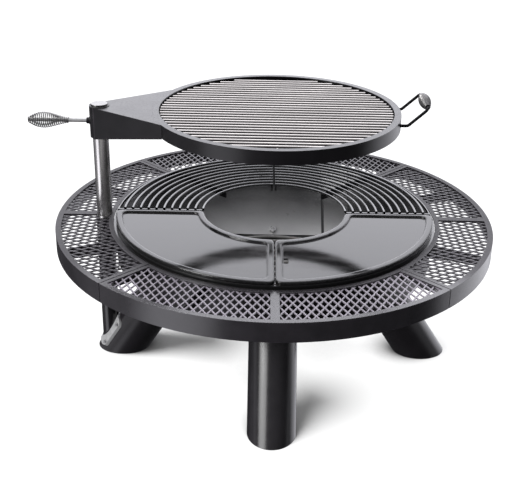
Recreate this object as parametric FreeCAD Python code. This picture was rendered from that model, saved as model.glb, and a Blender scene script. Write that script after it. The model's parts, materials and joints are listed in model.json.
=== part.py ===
import FreeCAD, Part
import math
import os
from FreeCAD import Placement, Rotation, Vector

# Fire pit barbecue: a round table on four legs, with a fire bowl in its middle, griddle plates and
# grates on the bowl's rim, and a round grill on an arm that swings and slides on a post.
# Millimetres. +Z is up, the floor is Z = 0, and the table's axis is the Z axis.
# The front is -Y, and the post stands on the left, at -X.

# Table ring
TABLE_HEIGHT = 420.0
RING_RADIUS = 600.0
RING_SHEET = 3.0
BAND_HEIGHT = 52.0
BAND_WALL = 4.0
OUTER_BORDER = 15.0
INNER_BORDER = 12.5
MID_STRIP = 22.0
END_STRIP = 11.0
FLANGE_HEIGHT = 26.0
PANEL_GAP = 2.5
RING_GAP = 7.0

# Expanded mesh in the table's windows
MESH_SHEET = 3.0
MESH_SHORT = 21.0
MESH_LONG = 40.0
MESH_STRAND = 3.6
MESH_CLEAR = 2.0
MESH_HOLE_LAP = 3.0
MESH_LEAST_SHARE = 0.1

# Support arms under the mesh
ARM_BAR_WIDTH = 6.0
ARM_BAR_DEPTH = 30.0

# Bolts of the panel seams
SEAM_BOLT_RADIUS = 4.0
SEAM_BOLT_FLATS = 13.0
SEAM_HEAD_HEIGHT = 5.3
SEAM_NUT_HEIGHT = 6.5
SEAM_BOLT_INSET = 34.0
BOLT_CLEAR = 0.3

# Fire bowl
BOWL_RADIUS = 434.0
BOWL_DEPTH = 250.0
BOWL_WALL = 3.0
RIM_RISE = 8.0
LEDGE_GAP = 0.5

# Heat shield round the bowl
SHIELD_WALL = 2.0
SHIELD_DEPTH = 94.0

# Rear liner plates
LINER_WALL = 3.0
LINER_SIDE = 230.0
LINER_SPLIT = 150.0
LINER_GAP = 8.0
LINER_REACH = 124.0
LINER_BELOW_BOLT = 13.0
LINER_EDGE_SLOPE = 27.0

# Fire grate
FIRE_ROD_RADIUS = 5.0
FIRE_BAR_PITCH = 36.0
FIRE_BOLT_GAP = 9.5

# Griddle plates and quarter grates
PLATE_HOLE_RADIUS = 195.0
PLATE_HEIGHT = 10.0
PLATE_FLOOR = 5.0
PLATE_RIM = 17.0
PLATE_BACK_RIM = 10.0
PLATE_CORNER = 16.0
PLATE_GAP = 3.0
PLATE_BACK_GAP = 15.0
PLATE_SET_BACK = 1.0
PLATE_EDGE_ROUND = 2.5
SLOT_LENGTH = 28.0
SLOT_WIDTH = 11.0
SLOT_FROM_AXIS = 324.0
SLOT_FROM_RIM = 4.0
GRATE_ROD_RADIUS = 3.5
GRATE_ROD_COUNT = 11
GRATE_OUTER_SET_BACK = 18.0
GRATE_BAR_COUNT = 3
GRATE_BAR_WIDTH = 5.0
GRATE_BAR_DEPTH = 18.0
GRATE_GAP = 6.0
WELD_SINK = 0.8
SEAT_GAP = 0.3

# Legs
LEG_RADIUS = 63.5
LEG_WALL = 4.0
NUT_PLATE = 8.0
FOOT_PLATE = 5.0
LEG_BOLT_RADIUS = 6.0
LEG_BOLT_FLATS = 19.0
LEG_HEAD_HEIGHT = 8.0
LEG_NUT_HEIGHT = 10.0

# Post, its socket and the saddle on the left leg
POST_RADIUS = 21.2
POST_WALL = 2.6
POST_GAP = 14.0
POST_HOLE_CLEAR = 1.5
SOCKET_CLEAR = 0.3
SOCKET_WALL = 2.7
SOCKET_TOP_GAP = 4.0
SADDLE_HEIGHT = 58.0
SADDLE_WALL = 6.0
SADDLE_LENGTH = 98.0
SADDLE_WIDTH = 89.0
SADDLE_CORNER = 14.0
SADDLE_BOLT_RADIUS = 3.0
SADDLE_BOLT_FLATS = 10.0
SADDLE_HEAD_HEIGHT = 4.0
SADDLE_BOLT_INSET = 15.0
SADDLE_BOLT_ANGLE = 34.0
CAP_RADIUS = 22.5
CAP_HEIGHT = 5.0
CAP_PLUG = 15.0

# Swing arm
ARM_RISE = 311.0
HUB_HEIGHT = 84.0
HUB_WALL = 3.9
BUSH_WALL = 1.8
BUSH_LENGTH = 24.0
BUSH_FLANGE = 1.5
RUNNING_CLEAR = 0.05
ARM_END_HEIGHT = 38.0
ARM_SPREAD = 28.0
ARM_WALL = 4.0
ARM_FLOOR = 3.0

# Clamp handle
CLAMP_ROD_RADIUS = 5.25
CLAMP_ROD_REACH = 48.0
CLAMP_PAD = 4.0
BOSS_RADIUS = 8.5
BOSS_LENGTH = 8.0
CLAMP_GRIP_LENGTH = 108.0
CLAMP_GRIP_RADIUS = 20.5
CLAMP_GRIP_TURNS = 20
CLAMP_GRIP_FATTEST = 0.62
GRIP_WIRE_RADIUS = 1.4

# Grill
GRILL_RADIUS = 330.0
GRILL_BAND = 36.0
GRILL_BAND_WALL = 4.0
GRILL_LIP = 18.0
GRILL_LIP_SHEET = 3.0
LEDGE_DROP = 16.0
LEDGE_WIDTH = 28.0
LEDGE_SHEET = 3.0
GRILL_ROD_RADIUS = 3.5
GRILL_ROD_PITCH = 20.8
GRILL_ROD_END_GAP = 3.0
CROSS_ROD_RADIUS = 3.0
CROSS_ROD_SPACING = 140.0

# Lift handle
LIFT_ROD_RADIUS = 4.0
LIFT_SPAN = 142.0
LIFT_STUB = 19.0
LIFT_RUN = 50.0
LIFT_RISE = 46.0
LIFT_BEND = 12.0
LIFT_GRIP_LENGTH = 112.0
LIFT_GRIP_RADIUS = 14.5
LIFT_GRIP_TURNS = 24

# Sizes that follow from the ones above
UP = Vector(0, 0, 1)
PANELS = ("right", "back", "left", "front")
QUARTER = 360.0 / len(PANELS)
BACK = QUARTER * PANELS.index("back")
LEFT = QUARTER * PANELS.index("left")
SPHERE = (BOWL_RADIUS ** 2 + BOWL_DEPTH ** 2) / (2 * BOWL_DEPTH)
SPHERE_Z = TABLE_HEIGHT - BOWL_DEPTH + SPHERE
SPHERE_CENTRE = Vector(0, 0, SPHERE_Z)
RIM_OUTER = BOWL_RADIUS + BOWL_WALL
RIM_TOP = TABLE_HEIGHT + RIM_RISE
RING_INNER = RIM_OUTER + RING_GAP
MESH_TOP = TABLE_HEIGHT - RING_SHEET
MESH_BOTTOM = MESH_TOP - MESH_SHEET
POST_X = RIM_OUTER + POST_GAP + POST_RADIUS
SADDLE_OUTER = LEG_RADIUS + SADDLE_WALL
ARM_TOP = TABLE_HEIGHT + ARM_RISE
HUB_BOTTOM = ARM_TOP - HUB_HEIGHT
HUB_BORE = POST_RADIUS + 2 * RUNNING_CLEAR + BUSH_WALL
HUB_RADIUS = HUB_BORE + HUB_WALL
CLAMP_Z = ARM_TOP - HUB_HEIGHT / 2
PLATE_RADIUS = RIM_OUTER - PLATE_SET_BACK
PLATE_TOP = RIM_TOP + PLATE_HEIGHT
FAR = 4 * RING_RADIUS
CLOSE = 0.01

# The leg's axis runs through the bowl's centre, so that the tube meets the bowl squarely. Its tilt
# is the one that puts the top of the left leg under the post at the saddle's height.
SADDLE_DROP = SPHERE_Z - SADDLE_HEIGHT
TILT = math.acos(LEG_RADIUS / math.hypot(POST_X, SADDLE_DROP)) - math.atan2(SADDLE_DROP, POST_X)
LEG_DOWN = Vector(math.sin(TILT), 0, -math.cos(TILT))
LEG_OUT = Vector(math.cos(TILT), 0, math.sin(TILT))
LEG_LENGTH = SPHERE_Z / math.cos(TILT) + 2 * LEG_RADIUS
FOOT_CIRCLE = SPHERE_Z * math.tan(TILT)


def ray(azimuth):
    angle = math.radians(azimuth)
    return Vector(math.cos(angle), math.sin(angle), 0)


def turned(shape, azimuth):
    copy = shape.copy()
    copy.rotate(Vector(), UP, azimuth)
    return copy


def mirrored(shape):
    """The mirror image on the other side of the plane between left and right."""
    return shape.mirror(Vector(), Vector(1, 0, 0))


def cylinder(radius, start, direction, length):
    return Part.makeCylinder(radius, length, start, direction)


def upright(radius, bottom, top, x=0.0, y=0.0):
    return cylinder(radius, Vector(x, y, bottom), UP, top - bottom)


def ring(inner, outer, bottom, top):
    return upright(outer, bottom, top).cut(upright(inner, bottom, top))


def prism(points, height):
    """A straight prism from a flat outline, pulled up by height."""
    return Part.Face(Part.makePolygon(points + points[:1])).extrude(UP * height)


def wedge(start, end, start_inset, end_inset, bottom, top):
    """The space between two azimuths, with each side moved inward by its inset."""
    first = ray(start)
    last = ray(end)
    first_in = Vector(-first.y, first.x, 0)
    last_in = Vector(last.y, -last.x, 0)
    scale = first_in.x * last_in.y - first_in.y * last_in.x
    apex = Vector(
        (start_inset * last_in.y - end_inset * first_in.y) / scale,
        (end_inset * first_in.x - start_inset * last_in.x) / scale,
        bottom,
    )
    return prism([apex, apex + first * FAR, apex + last * FAR], top - bottom)


def fused(shapes):
    return shapes[0].multiFuse(shapes[1:]).removeSplitter()


def revolved(points):
    """A full turn about the Z axis of an outline of radius and height pairs."""
    outline = [Vector(radius, 0, height) for radius, height in points]
    return Part.Face(Part.makePolygon(outline + outline[:1])).revolve(Vector(), UP, 360)


def hexagon(flats, height):
    corner = flats / math.sqrt(3)
    return prism([ray(60 * side) * corner for side in range(6)], height)


def hex_bolt(radius, flats, head, shank):
    """A bolt with its head's seat at the origin, the head above and the shank below."""
    return hexagon(flats, head).fuse(upright(radius, -shank, 0)).removeSplitter()


def hex_nut(radius, flats, height):
    """A nut below the origin, with a plain bore that clears the bolt's shank."""
    nut = hexagon(flats, height).cut(upright(radius + RUNNING_CLEAR, 0, height))
    nut.translate(UP * -height)
    return nut


def aimed(shape, place, direction):
    """A copy with its +Z turned to the given direction and its origin put at the place."""
    copy = shape.copy()
    copy.Placement = Placement(place, Rotation(UP, direction)).multiply(copy.Placement)
    return copy


def save(name, shape):
    shape.exportStep(os.path.join("parts", name + ".step"))
    print(name, "solids", len(shape.Solids), "valid", shape.isValid(), "volume", round(shape.Volume))


# Table ring panels

def panel_windows(middle, bottom, top, lap=0.0):
    """The two openings of a panel, each grown by lap on every side."""
    band = ring(RING_INNER + INNER_BORDER - lap, RING_RADIUS - OUTER_BORDER + lap, bottom, top)
    end_inset = PANEL_GAP / 2 + END_STRIP - lap
    mid_inset = MID_STRIP / 2 - lap
    half = QUARTER / 2
    before = wedge(middle - half, middle, end_inset, mid_inset, bottom, top)
    after = wedge(middle, middle + half, mid_inset, end_inset, bottom, top)
    return [band.common(before), band.common(after)]


def post_hole():
    return upright(POST_RADIUS + POST_HOLE_CLEAR, 0, ARM_TOP, -POST_X)


def seam_bolt_radii():
    return (RING_INNER + SEAM_BOLT_INSET, RING_RADIUS - SEAM_BOLT_INSET)


def seam_bolt_z():
    return (MESH_BOTTOM + TABLE_HEIGHT - FLANGE_HEIGHT) / 2


def ring_panel(middle):
    half = QUARTER / 2
    inset = PANEL_GAP / 2
    low = TABLE_HEIGHT - BAND_HEIGHT
    flange_low = TABLE_HEIGHT - FLANGE_HEIGHT
    inside_band = RING_RADIUS - BAND_WALL
    whole = wedge(middle - half, middle + half, inset, inset, low, TABLE_HEIGHT)
    between = wedge(middle - half, middle + half, inset + RING_SHEET, inset + RING_SHEET, low, TABLE_HEIGHT)
    top = ring(RING_INNER, RING_RADIUS, MESH_TOP, TABLE_HEIGHT)
    for window in panel_windows(middle, MESH_TOP, TABLE_HEIGHT):
        top = top.cut(window)
    band = ring(inside_band, RING_RADIUS, low, TABLE_HEIGHT)
    flanges = ring(RING_INNER, inside_band, flange_low, TABLE_HEIGHT).cut(between)
    panel = fused([top.common(whole), band.common(whole), flanges.common(whole)])
    for azimuth in (middle - half, middle + half):
        across = ray(azimuth + 90)
        for radius in seam_bolt_radii():
            place = ray(azimuth) * radius + UP * seam_bolt_z() - across * END_STRIP
            panel = panel.cut(cylinder(SEAM_BOLT_RADIUS + BOLT_CLEAR, place, across, 2 * END_STRIP))
    return panel.cut(post_hole())


def seam_fasteners():
    """Bolts and nuts through the end flanges of neighbouring panels, as two groups."""
    seat = PANEL_GAP / 2 + RING_SHEET
    bolt = hex_bolt(SEAM_BOLT_RADIUS, SEAM_BOLT_FLATS, SEAM_HEAD_HEIGHT, 2 * seat + SEAM_NUT_HEIGHT)
    nut = hex_nut(SEAM_BOLT_RADIUS, SEAM_BOLT_FLATS, SEAM_NUT_HEIGHT)
    bolts = []
    nuts = []
    for seam in range(len(PANELS)):
        azimuth = QUARTER * (seam + 0.5)
        across = ray(azimuth + 90)
        for radius in seam_bolt_radii():
            place = ray(azimuth) * radius + UP * seam_bolt_z()
            bolts.append(aimed(bolt, place + across * seat, across))
            nuts.append(aimed(nut, place - across * seat, across))
    return Part.makeCompound(bolts), Part.makeCompound(nuts)


# Mesh inserts

def diamond_holes(middle, region):
    """Outlines of the mesh's holes: whole diamonds, and cut ones along the region's edge."""
    along = ray(middle)
    across = ray(middle + 90)
    half_short = MESH_SHORT / 2
    half_long = MESH_LONG / 2
    shrink = 1 - MESH_STRAND / 2 * math.hypot(half_short, half_long) / (half_short * half_long)
    floor = bottom_face(region)
    box = region.BoundBox
    least = MESH_LEAST_SHARE * 2 * half_short * half_long
    reach = int(RING_RADIUS / half_long) + 1
    spread = int(RING_RADIUS / half_short) + 1
    holes = []
    for row in range(reach + 1):
        for column in range(-spread, spread + 1):
            if (row + column) % 2:
                continue
            centre = along * (row * half_long) + across * (column * half_short) + UP * box.ZMin
            if not box.isInside(centre):
                continue
            corners = [
                centre + along * half_long * shrink,
                centre + across * half_short * shrink,
                centre - along * half_long * shrink,
                centre - across * half_short * shrink,
            ]
            diamond = Part.Face(Part.makePolygon(corners + corners[:1]))
            for piece in diamond.common(floor).Faces:
                if piece.Area > least:
                    holes.append(piece.OuterWire)
    return holes


def bottom_face(solid):
    return min(solid.Faces, key=lambda face: face.CenterOfMass.z)


def mesh_insert(middle, side):
    """One sheet of expanded metal under the panel's window on the given side, 0 or 1."""
    end_inset = PANEL_GAP / 2 + RING_SHEET + MESH_CLEAR
    mid_inset = MESH_CLEAR / 2
    half = QUARTER / 2
    if side == 0:
        space = wedge(middle - half, middle, end_inset, mid_inset, MESH_BOTTOM, MESH_TOP)
    else:
        space = wedge(middle, middle + half, mid_inset, end_inset, MESH_BOTTOM, MESH_TOP)
    inner = RING_INNER + MESH_CLEAR
    outer = RING_RADIUS - BAND_WALL - MESH_CLEAR
    sheet = ring(inner, outer, MESH_BOTTOM, MESH_TOP).common(space)
    region = panel_windows(middle, MESH_BOTTOM, MESH_TOP, MESH_HOLE_LAP)[side]
    outline = bottom_face(sheet).OuterWire
    face = Part.makeFace([outline] + diamond_holes(middle, region), "Part::FaceMakerBullseye")
    return face.extrude(UP * MESH_SHEET).cut(post_hole())


# Support arms

def support_arm(azimuth):
    """A flat bar on edge from the heat shield to the outer band, with its top against the mesh."""
    low = Vector(0, -ARM_BAR_WIDTH / 2, MESH_BOTTOM - ARM_BAR_DEPTH)
    bar = Part.makeBox(RING_RADIUS, ARM_BAR_WIDTH, ARM_BAR_DEPTH, low)
    inside_band = upright(RING_RADIUS - BAND_WALL, 0, TABLE_HEIGHT)
    return turned(bar.common(inside_band).cut(upright(RIM_OUTER, 0, TABLE_HEIGHT)), azimuth)


# Fire bowl, liner and fire grate

def bowl_outline(radius, wall):
    """Heights of the bowl's lowest point and of its edge, for a shell of the given radius."""
    edge = BOWL_RADIUS + wall
    return SPHERE_Z - radius, SPHERE_Z - math.sqrt(radius ** 2 - edge ** 2)


def bowl_inside(height):
    """Inner radius of the bowl at a height."""
    below = SPHERE_Z - min(height, TABLE_HEIGHT)
    return math.sqrt(SPHERE ** 2 - below ** 2)


def bowl_arc(radius, wall):
    low, high = bowl_outline(radius, wall)
    slope = math.asin((BOWL_RADIUS + wall) / radius) / 2
    middle = Vector(radius * math.sin(slope), 0, SPHERE_Z - radius * math.cos(slope))
    return Part.Arc(Vector(0, 0, low), middle, Vector(BOWL_RADIUS + wall, 0, high)).toShape()


def bowl_filled():
    """The bowl with its hollow filled, up to the rim: what other pieces are cut back from."""
    outer = bowl_arc(SPHERE + BOWL_WALL, BOWL_WALL)
    edge = outer.Vertexes[-1].Point
    top = [edge, Vector(edge.x, 0, RIM_TOP), Vector(0, 0, RIM_TOP), outer.Vertexes[0].Point]
    sides = [Part.makeLine(a, b) for a, b in zip(top, top[1:])]
    return Part.Face(Part.Wire([outer] + sides)).revolve(Vector(), UP, 360)


def fire_bowl():
    inner = bowl_arc(SPHERE, 0.0)
    low = inner.Vertexes[0].Point
    edge = inner.Vertexes[-1].Point
    top = [edge, Vector(edge.x, 0, RIM_TOP), Vector(0, 0, RIM_TOP), low]
    sides = [Part.makeLine(a, b) for a, b in zip(top, top[1:])]
    hollow = Part.Face(Part.Wire([inner] + sides)).revolve(Vector(), UP, 360)
    bowl = bowl_filled().cut(hollow)
    for azimuth in leg_azimuths():
        bowl = bowl.cut(turned(leg_bolt_hole(), azimuth))
    return bowl.fuse(rim_ledge()).removeSplitter()


def rim_ledge():
    """A flat ring round the bowl that closes the gap to the table, level with the mesh."""
    start = bowl_inside(MESH_TOP) + BOWL_WALL / 2
    return ring(start, RING_INNER - LEDGE_GAP, MESH_BOTTOM, MESH_TOP)


def heat_shield():
    """A sheet cylinder that hangs from the ledge, so that the bowl's heat doesn't reach the knees."""
    return ring(RIM_OUTER - SHIELD_WALL, RIM_OUTER, MESH_BOTTOM - SHIELD_DEPTH, MESH_BOTTOM)


def liner_plate(start, end):
    """A bent plate on the back of the bowl, from one x to another, with a sloping lower edge."""
    outer = Part.makeSphere(SPHERE, SPHERE_CENTRE)
    inner = Part.makeSphere(SPHERE - LINER_WALL, SPHERE_CENTRE)
    near = leg_point(SPHERE).x - LINER_BELOW_BOLT
    edge_z = SPHERE_Z - math.sqrt(SPHERE ** 2 - near ** 2)
    slope = math.tan(math.radians(LINER_EDGE_SLOPE))
    front = Vector(start, 0, edge_z + near * slope)
    back = Vector(start, near + LINER_REACH, edge_z - LINER_REACH * slope)
    corners = [front, back, Vector(start, back.y, TABLE_HEIGHT), Vector(start, 0, TABLE_HEIGHT), front]
    window = Part.Face(Part.makePolygon(corners)).extrude(Vector(end - start, 0, 0))
    return outer.cut(inner).common(window)


def wide_liner_plate():
    """The plate that the back leg's bolt holds."""
    return liner_plate(-LINER_SIDE, LINER_SPLIT).cut(turned(leg_bolt_hole(), BACK))


def fire_grate():
    bolt = leg_point(SPHERE)
    radius = bolt.x - LEG_BOLT_FLATS / math.sqrt(3) - FIRE_BOLT_GAP - FIRE_ROD_RADIUS
    seat = SPHERE - FIRE_ROD_RADIUS - SEAT_GAP
    height = SPHERE_Z - math.sqrt(seat ** 2 - radius ** 2)
    pieces = [Part.makeTorus(radius, FIRE_ROD_RADIUS, Vector(0, 0, height), UP)]
    count = int((radius - FIRE_ROD_RADIUS) / FIRE_BAR_PITCH)
    for bar in range(-count, count + 1):
        offset = bar * FIRE_BAR_PITCH
        half = math.sqrt(radius ** 2 - offset ** 2)
        start = Vector(-half, offset, height)
        pieces.append(cylinder(FIRE_ROD_RADIUS, start, Vector(1, 0, 0), 2 * half))
    return fused(pieces)


# Griddle plates and quarter grates

def plate_plan(inset, back_inset, bottom, top):
    """The quarter between -X and -Y with rounded corners, its back and other sides moved in."""
    inner = PLATE_HOLE_RADIUS + inset
    outer = PLATE_RADIUS - inset
    sides = wedge(180, 270, PLATE_BACK_GAP + back_inset, PLATE_GAP / 2 + inset, bottom, top)
    quarter = ring(inner, outer, bottom, top).common(sides)
    upright_edges = [edge for edge in quarter.Edges if is_upright(edge)]
    return quarter.makeFillet(PLATE_CORNER, upright_edges)


def is_upright(edge):
    step = edge.Vertexes[-1].Point - edge.Vertexes[0].Point
    return math.hypot(step.x, step.y) < CLOSE < abs(step.z)


def top_edges(shape, height):
    return [edge for edge in shape.Edges if edge.BoundBox.ZMin > height - CLOSE]


def griddle_plate():
    body = plate_plan(0.0, 0.0, RIM_TOP, PLATE_TOP)
    body = body.makeFillet(PLATE_EDGE_ROUND, top_edges(body, PLATE_TOP))
    floor = RIM_TOP + PLATE_FLOOR
    hollow = plate_plan(PLATE_RIM, PLATE_BACK_RIM, floor, PLATE_TOP)
    tray = body.cut(hollow)
    inner_edges = [edge for edge in top_edges(tray, PLATE_TOP) if is_inside_rim(edge)]
    return tray.makeFillet(PLATE_EDGE_ROUND, inner_edges)


def is_inside_rim(edge):
    """True for the edges of the tray's hollow, which lie a rim's width from the plate's sides."""
    middle = edge.valueAt((edge.FirstParameter + edge.LastParameter) / 2)
    radius = math.hypot(middle.x, middle.y)
    from_arcs = min(PLATE_RADIUS - radius, radius - PLATE_HOLE_RADIUS)
    from_seam = -middle.x - PLATE_GAP / 2
    from_back = -middle.y - PLATE_BACK_GAP
    return min(from_arcs, from_seam) > PLATE_RIM - CLOSE and from_back > PLATE_BACK_RIM - CLOSE


def right_griddle_plate():
    """The mirror image, with a lifting slot through its floor beside the front seam."""
    plate = mirrored(griddle_plate())
    near = PLATE_GAP / 2 + PLATE_RIM + SLOT_FROM_RIM
    slot = Part.makeBox(SLOT_WIDTH, SLOT_LENGTH, PLATE_HEIGHT, Vector(near, -SLOT_FROM_AXIS, RIM_TOP))
    return plate.cut(slot)


def quarter_grate():
    """Quarter rings of rod on three flat bars, whose tabs lie on the bowl's rim."""
    rod_z = PLATE_TOP - GRATE_ROD_RADIUS
    outer = BOWL_RADIUS - GRATE_OUTER_SET_BACK
    inner = PLATE_HOLE_RADIUS + GRATE_ROD_RADIUS
    pitch = (outer - inner) / (GRATE_ROD_COUNT - 1)
    quarter = wedge(0, QUARTER, GRATE_GAP / 2, GRATE_GAP / 2, 0, PLATE_TOP)
    pieces = []
    for rod in range(GRATE_ROD_COUNT):
        torus = Part.makeTorus(inner + rod * pitch, GRATE_ROD_RADIUS, Vector(0, 0, rod_z), UP)
        pieces.append(torus.common(quarter))
    bar = grate_bar(inner, rod_z - GRATE_ROD_RADIUS + WELD_SINK)
    side = (GRATE_GAP + GRATE_BAR_WIDTH) / 2
    last = GRATE_BAR_COUNT - 1
    shifts = {0: Vector(0, side, 0), last: Vector(side, 0, 0)}
    for index in range(GRATE_BAR_COUNT):
        placed = turned(bar, QUARTER * index / last)
        placed.translate(shifts.get(index, Vector()))
        pieces.append(placed)
    return fused(pieces)


def grate_bar(inner, top):
    """A flat bar on edge along +X, with a tab that lies over the bowl's rim."""
    low = top - GRATE_BAR_DEPTH
    widest = GRATE_GAP / 2 + GRATE_BAR_WIDTH
    end = math.sqrt(bowl_inside(low) ** 2 - widest ** 2) - SEAT_GAP
    corner = Vector(inner, -GRATE_BAR_WIDTH / 2, low)
    bar = Part.makeBox(end - inner, GRATE_BAR_WIDTH, GRATE_BAR_DEPTH, corner)
    corner.z = RIM_TOP
    tab = Part.makeBox(PLATE_RADIUS - inner, GRATE_BAR_WIDTH, top - RIM_TOP, corner)
    return fused([bar, tab])


# Legs

def leg_azimuths():
    return [QUARTER * index for index in range(len(PANELS))]


def leg_point(distance):
    """A point on the +X leg's axis, at a distance from the bowl's centre."""
    return SPHERE_CENTRE + LEG_DOWN * distance


def leg_bolt_hole():
    start = leg_point(SPHERE - 2 * LINER_WALL)
    length = 2 * LINER_WALL + BOWL_WALL + 2 * NUT_PLATE
    return cylinder(LEG_BOLT_RADIUS + BOLT_CLEAR, start, LEG_DOWN, length)


def leg():
    outside = SPHERE + BOWL_WALL
    tube = cylinder(LEG_RADIUS, leg_point(outside - LEG_RADIUS), LEG_DOWN, LEG_LENGTH)
    bore = cylinder(LEG_RADIUS - LEG_WALL, leg_point(outside + NUT_PLATE), LEG_DOWN, LEG_LENGTH)
    recess = cylinder(LEG_RADIUS - LEG_WALL, leg_point(outside - LEG_RADIUS), LEG_DOWN, LEG_RADIUS)
    foot = Part.makeBox(FAR, FAR, FOOT_PLATE, Vector(-FAR / 2, -FAR / 2, 0))
    below = Part.makeBox(FAR, FAR, FAR, Vector(-FAR / 2, -FAR / 2, -FAR))
    ball = Part.makeSphere(outside, SPHERE_CENTRE)
    shape = tube.cut(bore.cut(foot)).cut(recess).cut(ball).cut(below)
    return shape.cut(leg_bolt_hole())


def leg_fasteners():
    """Bolts from inside the bowl and nuts under the legs' top plates, as two groups."""
    shank = BOWL_WALL + NUT_PLATE + LEG_NUT_HEIGHT + LINER_WALL
    bolt = hex_bolt(LEG_BOLT_RADIUS, LEG_BOLT_FLATS, LEG_HEAD_HEIGHT, shank)
    nut = hex_nut(LEG_BOLT_RADIUS, LEG_BOLT_FLATS, LEG_NUT_HEIGHT)
    nut = aimed(nut, leg_point(SPHERE + BOWL_WALL + NUT_PLATE), -LEG_DOWN)
    corner = LEG_BOLT_FLATS / math.sqrt(3)
    bolts = []
    for azimuth in leg_azimuths():
        under = SPHERE - LINER_WALL if azimuth == BACK else SPHERE
        seat = math.sqrt(under ** 2 - corner ** 2) - RUNNING_CLEAR
        placed = aimed(bolt, leg_point(seat), -LEG_DOWN)
        bolts.append(turned(placed, azimuth))
    nuts = [turned(nut, azimuth) for azimuth in leg_azimuths()]
    return Part.makeCompound(bolts), Part.makeCompound(nuts)


# Post, socket and saddle, built on the +X leg and turned to the left

def leg_core(radius):
    return cylinder(radius, SPHERE_CENTRE, LEG_DOWN, LEG_LENGTH + SPHERE)


def saddle_bolt_axes():
    """Places on the leg's axis and outward directions of the four saddle bolts."""
    middle = Vector(POST_X, 0, SADDLE_HEIGHT) - LEG_OUT * LEG_RADIUS
    reach = SADDLE_LENGTH / 2 - SADDLE_BOLT_INSET
    axes = []
    for shift in (-reach, reach):
        for angle in (-SADDLE_BOLT_ANGLE, SADDLE_BOLT_ANGLE):
            direction = Rotation(LEG_DOWN, angle).multVec(LEG_OUT)
            axes.append((middle + LEG_DOWN * shift, direction))
    return axes


def saddle_holes():
    radius = SADDLE_BOLT_RADIUS + BOLT_CLEAR
    return [cylinder(radius, place, direction, 2 * LEG_RADIUS) for place, direction in saddle_bolt_axes()]


def saddle():
    """A rolled plate with rounded corners that lies round the top of the left leg."""
    shell = leg_core(SADDLE_OUTER).cut(leg_core(LEG_RADIUS))
    low = Vector(-SADDLE_WIDTH / 2, -SADDLE_LENGTH / 2, 0)
    block = Part.makeBox(SADDLE_WIDTH, SADDLE_LENGTH, 2 * LEG_RADIUS, low)
    block = block.makeFillet(SADDLE_CORNER, [edge for edge in block.Edges if is_upright(edge)])
    middle = Vector(POST_X, 0, SADDLE_HEIGHT) - LEG_OUT * LEG_RADIUS
    frame = FreeCAD.Matrix(
        0, LEG_DOWN.x, LEG_OUT.x, middle.x,
        -1, LEG_DOWN.y, LEG_OUT.y, middle.y,
        0, LEG_DOWN.z, LEG_OUT.z, middle.z,
        0, 0, 0, 1,
    )
    block.Placement = Placement(frame)
    plate = shell.common(block)
    for hole in saddle_holes():
        plate = plate.cut(hole)
    return turned(plate, LEFT)


def saddle_bolts():
    shank = SADDLE_WALL + LEG_WALL + SADDLE_HEAD_HEIGHT
    bolt = hex_bolt(SADDLE_BOLT_RADIUS, SADDLE_BOLT_FLATS, SADDLE_HEAD_HEIGHT, shank)
    bolts = []
    for place, direction in saddle_bolt_axes():
        bolts.append(aimed(bolt, place + direction * SADDLE_OUTER, direction))
    return turned(Part.makeCompound(bolts), LEFT)


def left_leg():
    shape = leg()
    for hole in saddle_holes():
        shape = shape.cut(hole)
    return turned(shape, LEFT)


def post_socket():
    inner = POST_RADIUS + SOCKET_CLEAR
    top = MESH_BOTTOM - SOCKET_TOP_GAP
    sleeve = upright(inner + SOCKET_WALL, 0, top, POST_X).cut(upright(inner, 0, top, POST_X))
    return turned(sleeve.cut(leg_core(SADDLE_OUTER)), LEFT)


def post():
    top = ARM_TOP + BUSH_FLANGE
    tube = upright(POST_RADIUS, 0, top, POST_X).cut(upright(POST_RADIUS - POST_WALL, 0, top, POST_X))
    return turned(tube.cut(leg_core(SADDLE_OUTER)), LEFT)


def post_cap():
    seat = ARM_TOP + BUSH_FLANGE
    plug = POST_RADIUS - POST_WALL - RUNNING_CLEAR
    disc = upright(CAP_RADIUS, seat, seat + CAP_HEIGHT, -POST_X)
    disc = disc.makeFillet(CAP_HEIGHT / 4, [disc.Edges[0]])
    return disc.fuse(upright(plug, seat - CAP_PLUG, seat, -POST_X)).removeSplitter()


# Swing arm

def bush(bottom, flange_bottom):
    """A sleeve on the post, with a flange that lies against the hub's end."""
    inner = POST_RADIUS + RUNNING_CLEAR
    sleeve = upright(inner + BUSH_WALL, bottom, bottom + BUSH_LENGTH, -POST_X)
    flange = upright(HUB_RADIUS, flange_bottom, flange_bottom + BUSH_FLANGE, -POST_X)
    bore = upright(inner, 0, ARM_TOP + CAP_HEIGHT, -POST_X)
    return fused([sleeve, flange]).cut(bore)


def arm_hub():
    tube = upright(HUB_RADIUS, HUB_BOTTOM, ARM_TOP, -POST_X)
    tube = tube.cut(upright(HUB_BORE, HUB_BOTTOM, ARM_TOP, -POST_X))
    return tube.cut(clamp_line(CLAMP_ROD_RADIUS + RUNNING_CLEAR, 0, HUB_RADIUS))


def clamp_line(radius, near, far):
    """A round bar on the clamp's axis, between two distances from the post's axis."""
    return cylinder(radius, Vector(-POST_X - near, 0, CLAMP_Z), Vector(-1, 0, 0), far - near)


def arm_plan(wall):
    """Outline of the arm from above: tangent to the hub, spread to the ring, moved in by wall."""
    spread = math.radians(ARM_SPREAD)
    hub = Vector(-POST_X, 0, 0)
    corner = Vector(-GRILL_RADIUS * math.cos(spread), GRILL_RADIUS * math.sin(spread), 0)
    to_corner = corner - hub
    turn = math.atan2(to_corner.y, to_corner.x) + math.acos(HUB_RADIUS / to_corner.Length)
    normal = Vector(math.cos(turn), math.sin(turn), 0)
    start = hub + normal * (HUB_RADIUS - wall)
    past = (corner - hub - normal * HUB_RADIUS).normalize() * GRILL_BAND_WALL
    end = corner + past - normal * wall
    return [start, end, Vector(end.x, -end.y, 0), Vector(start.x, -start.y, 0)]


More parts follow.
